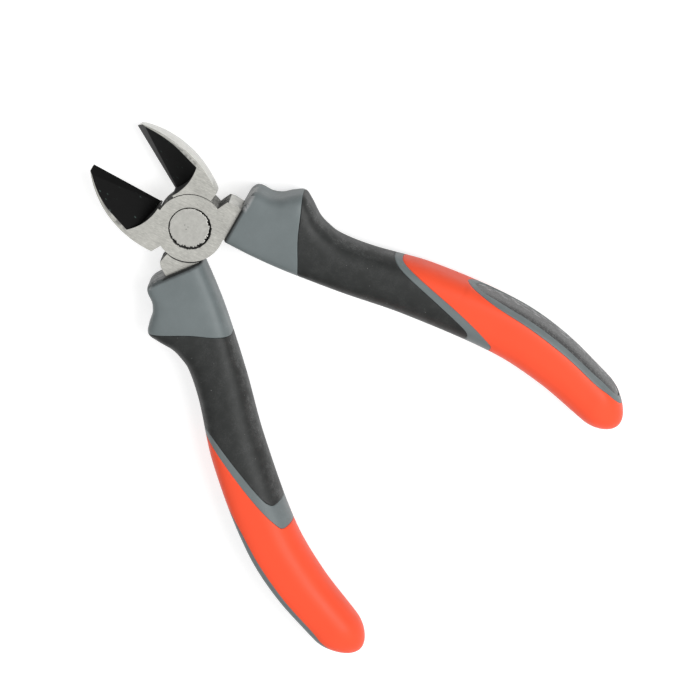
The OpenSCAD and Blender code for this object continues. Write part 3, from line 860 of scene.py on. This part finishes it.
def make_rivet():
    """Flush rivet as one turned solid: a face of rings round the axis, a rim that wanders in and out by a sum of
    waves, the shank, and the peened head at the back. The gap round the front head is widest towards the handles."""
    turn = np.arange(RING_POINTS) * 2 * math.pi / RING_POINTS
    waves = np.random.default_rng(7)
    jag = sum(waves.uniform(0.2, 1) * np.sin(k * turn + waves.uniform(0, 6.283)) for k in RIM_WAVES) / 3
    wide = np.clip(0.55 + 0.6 * np.cos(turn - WIDEST), 0, 1)
    gap = 0.3 + 0.4 * wide + (0.08 + 0.4 * wide) * np.maximum(jag, -0.5)
    rim = RIVET_HEAD_R - np.clip(gap, 0.18, 1.1)
    back_rim = RIVET_BACK_R - np.clip(0.03 + 0.04 * jag, 0, 0.2)
    share = np.concatenate([np.linspace(0, 0.95, 20)[1:], [0.975, 0.99, 1.0]])
    sink = RIM_SINK * np.clip((share - 0.95) / 0.05, 0, 1) ** 2

    def ring(r, z):
        return np.stack([r * np.cos(turn), r * np.sin(turn), z + 0 * turn], -1)

    grid = [ring(0 * turn, HEAD_T)]
    grid += [ring(rim * a, HEAD_T - b) for a, b in zip(share, sink)]
    grid += [ring(rim - 0.02, HEAD_T - 0.3), ring(rim - 0.05, HEAD_T - RIVET_HEAD_T)]
    grid += [ring(0 * turn + RIVET_SHANK_R, z) for z in (HEAD_T - RIVET_HEAD_T, RIVET_HEAD_T)]
    grid += [ring(back_rim, RIVET_HEAD_T), ring(back_rim, 0.08)]
    grid += [ring(back_rim * a, b) for a, b in zip(share[::-1], 0.8 * sink[::-1])]
    grid += [ring(0 * turn, 0)]
    points = np.array(grid)
    rows = len(points)
    number = np.arange(rows * RING_POINTS).reshape(rows, RING_POINTS)
    number[0], number[-1] = number[0, 0], number[-1, 0]
    after = np.roll(np.arange(RING_POINTS), -1)
    faces = np.stack([number[:-1], number[1:], number[1:][:, after], number[:-1][:, after]], -1).reshape(-1, 4)
    return mesh_object("flush_rivet", points.reshape(-1, 3) * MM, faces, 40)


# Camera, floor and light
TILT = math.radians(17.0784)
AZIMUTH = math.radians(30)
ROLL = math.radians(-43.4908)
PIXELS_PER_MM = 3.6728
CAMERA_DISTANCE = 2785.94
PIVOT_PIXEL = (189.74, 228.46)
FRAME_PIXELS = 700
SENSOR = 36
FLOOR_REACH = 6.0
FLOOR_GAP = 0.05
FLOOR_TONE = 0.6
FLOOR_GLOW = 0.62
AMBIENT = 0.6
TENT_LOW = 0.22
TENT_HIGH = 0.9
TENT_RISE = (0.2, 0.6)
TENT_SIDE = (0.3, -0.45)
SKY_SIDE = (-0.1, -0.65)
LAMP_AIM = (0.01, -0.04, 0)


def make_camera():
    """Camera at the photograph's angle: it looks at the rivet's face from TILT off the axis, towards AZIMUTH, and
    is rolled about its line of sight. The aim point lies in the image's middle."""
    toward = Vector((math.sin(TILT) * math.cos(AZIMUTH), math.sin(TILT) * math.sin(AZIMUTH), math.cos(TILT)))
    right = Vector((0, 1, 0)).cross(toward).normalized()
    up = toward.cross(right)
    x_axis = math.cos(ROLL) * right + math.sin(ROLL) * up
    y_axis = -math.sin(ROLL) * right + math.cos(ROLL) * up
    middle = FRAME_PIXELS / 2
    aim = Vector((0, 0, HEAD_T)) + x_axis * ((middle - PIVOT_PIXEL[0]) / PIXELS_PER_MM)
    aim += y_axis * ((PIVOT_PIXEL[1] - middle) / PIXELS_PER_MM)
    data = bpy.data.cameras.new("photo camera")
    data.sensor_width = SENSOR
    data.lens = PIXELS_PER_MM * CAMERA_DISTANCE * SENSOR / FRAME_PIXELS
    data.clip_start, data.clip_end = 0.05, 20
    camera = bpy.data.objects.new("photo camera", data)
    place = (aim + toward * CAMERA_DISTANCE) * MM
    camera.matrix_world = Matrix.Translation(place) @ Matrix((x_axis, y_axis, toward)).transposed().to_4x4()
    bpy.context.scene.collection.objects.link(camera)
    bpy.context.scene.camera = camera


def make_floor(height):
    """Pale floor. It is lit like any surface, and adds a little of its own white only to what the camera and
    reflections see, so that it reads as a white ground and keeps the soft shadow."""
    corners = [(x * FLOOR_REACH, y * FLOOR_REACH, height) for x, y in ((-1, -1), (1, -1), (1, 1), (-1, 1))]
    data = bpy.data.meshes.new("floor")
    data.from_pydata(corners, [], [(0, 1, 2, 3)])
    floor = bpy.data.objects.new("floor", data)
    bpy.context.scene.collection.objects.link(floor)
    f = Finish("pale floor")
    path = f.tree.nodes.new("ShaderNodeLightPath")
    seen = Signal(f.tree, path.outputs["Is Camera Ray"]).most(Signal(f.tree, path.outputs["Is Glossy Ray"]))
    diffuse = f.node("ShaderNodeBsdfDiffuse", {}, {"Color": grey(FLOOR_TONE)})
    glow = f.node("ShaderNodeEmission", {}, {"Color": grey(1.0), "Strength": FLOOR_GLOW})
    both = f.node("ShaderNodeAddShader", {}, {0: diffuse, 1: glow})
    mixed = f.node("ShaderNodeMixShader", {}, {0: seen, 1: diffuse, 2: both})
    output = f.tree.nodes.new("ShaderNodeOutputMaterial")
    f.tree.links.new(mixed.socket, output.inputs["Surface"])
    data.materials.append(f.material)


def make_world():
    """Soft studio light, brighter from the handles' side. Reflections see a bright tent overhead that darkens
    towards the horizon."""
    world = bpy.data.worlds.new("studio")
    world.use_nodes = True
    tree = world.node_tree
    path = tree.nodes.new("ShaderNodeLightPath")
    place = tree.nodes.new("ShaderNodeTexCoord")
    parts = tree.nodes.new("ShaderNodeSeparateXYZ")
    tree.links.new(place.outputs["Generated"], parts.inputs[0])
    x, y, z = (Signal(tree, parts.outputs[k]) for k in range(3))
    tent = TENT_LOW + (TENT_HIGH - TENT_LOW) * z.step(*TENT_RISE)
    sky = AMBIENT * (1 + SKY_SIDE[0] * x + SKY_SIDE[1] * y)
    tent = tent * (1 + TENT_SIDE[0] * x + TENT_SIDE[1] * y)
    level = sky + Signal(tree, path.outputs["Is Glossy Ray"]) * (tent - sky)
    background = tree.nodes["Background"]
    background.inputs["Color"].default_value = (1, 1, 1, 1)
    plug(tree, background.inputs["Strength"], level)
    bpy.context.scene.world = world


def make_lamp(name, place, size, power):
    """Soft square lamp that faces the head of the object."""
    data = bpy.data.lights.new(name, "AREA")
    data.size, data.energy = size, power
    lamp = bpy.data.objects.new(name, data)
    lamp.location = place
    aim = Vector(LAMP_AIM) - Vector(place)
    lamp.rotation_mode = "QUATERNION"
    lamp.rotation_quaternion = aim.to_track_quat("-Z", "Y")
    bpy.context.scene.collection.objects.link(lamp)


# Steel halves: points closer than this are one, and the width of their broken edges
WELD = 2e-6
BROKEN_EDGE = 0.1
BROKEN_FROM = 24


def dress_half(node, finish):
    """Gives one half's solid its steel and breaks its edges."""
    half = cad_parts[node]
    half.data.materials.clear()
    half.data.materials.append(finish)
    weld = half.modifiers.new("weld", "WELD")
    weld.merge_threshold = WELD
    edge = half.modifiers.new("broken edges", "BEVEL")
    edge.width, edge.segments = BROKEN_EDGE * MM, 2
    edge.limit_method, edge.angle_limit = "ANGLE", math.radians(BROKEN_FROM)
    edge.use_clamp_overlap = True


def dress():
    """Makes the pieces, gives every surface its finish, hides the solids that they take the place of and says what
    each piece rides on.
    """
    dress_half("front_half", ground_steel("ground steel front", 1))
    dress_half("rear_half", ground_steel("ground steel rear", -1))
    rivet = make_rivet()
    rivet.data.materials.append(rivet_steel())
    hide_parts("rivet")
    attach(rivet, "front")

    grey_finish = moulded("hard grey moulding", GRIP_GREY, 0.44, 0.02, shine=0.3, mouth=0.5, rub_and_sheen=0.22)
    black_finish = moulded("soft black moulding", GRIP_BLACK, 0.5, 0.035, lint=0.7, shine=0.33, rub_and_sheen=0.55)
    orange_finish = moulded("soft orange moulding", GRIP_ORANGE, 0.44, 0.02, tint=0.02, shine=0.22)
    parts = {
        "grip_core": (make_core, grey_finish, "grip_grey"),
        "grip_sleeve": (make_sleeve, black_finish, "grip_black"),
        "grip_shell": (make_shell, orange_finish, "grip_orange"),
        "grip_pad": (make_pad, pad_finish(), "grip_pad"),
    }
    for side, word, body in ((1, "right", "front"), (-1, "left", "rear")):
        for part, (make, finish, slot) in parts.items():
            piece = make(side)
            piece.name = f"{word}_{part}_skin"
            piece.data.name = piece.name
            piece.data.materials.append(finish)
            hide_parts(f"{word}_{part}")
            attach(piece, body)


make_camera()
dress()
make_world()
make_lamp("key", (0.45, -0.3, 0.8), size=0.5, power=5.2)
make_lamp("fill", (-0.4, 0.4, 0.8), size=0.6, power=1.0)
make_floor(CAD_BOX[0][2] - FLOOR_GAP * MM)
bpy.context.scene.view_settings.view_transform = "Standard"
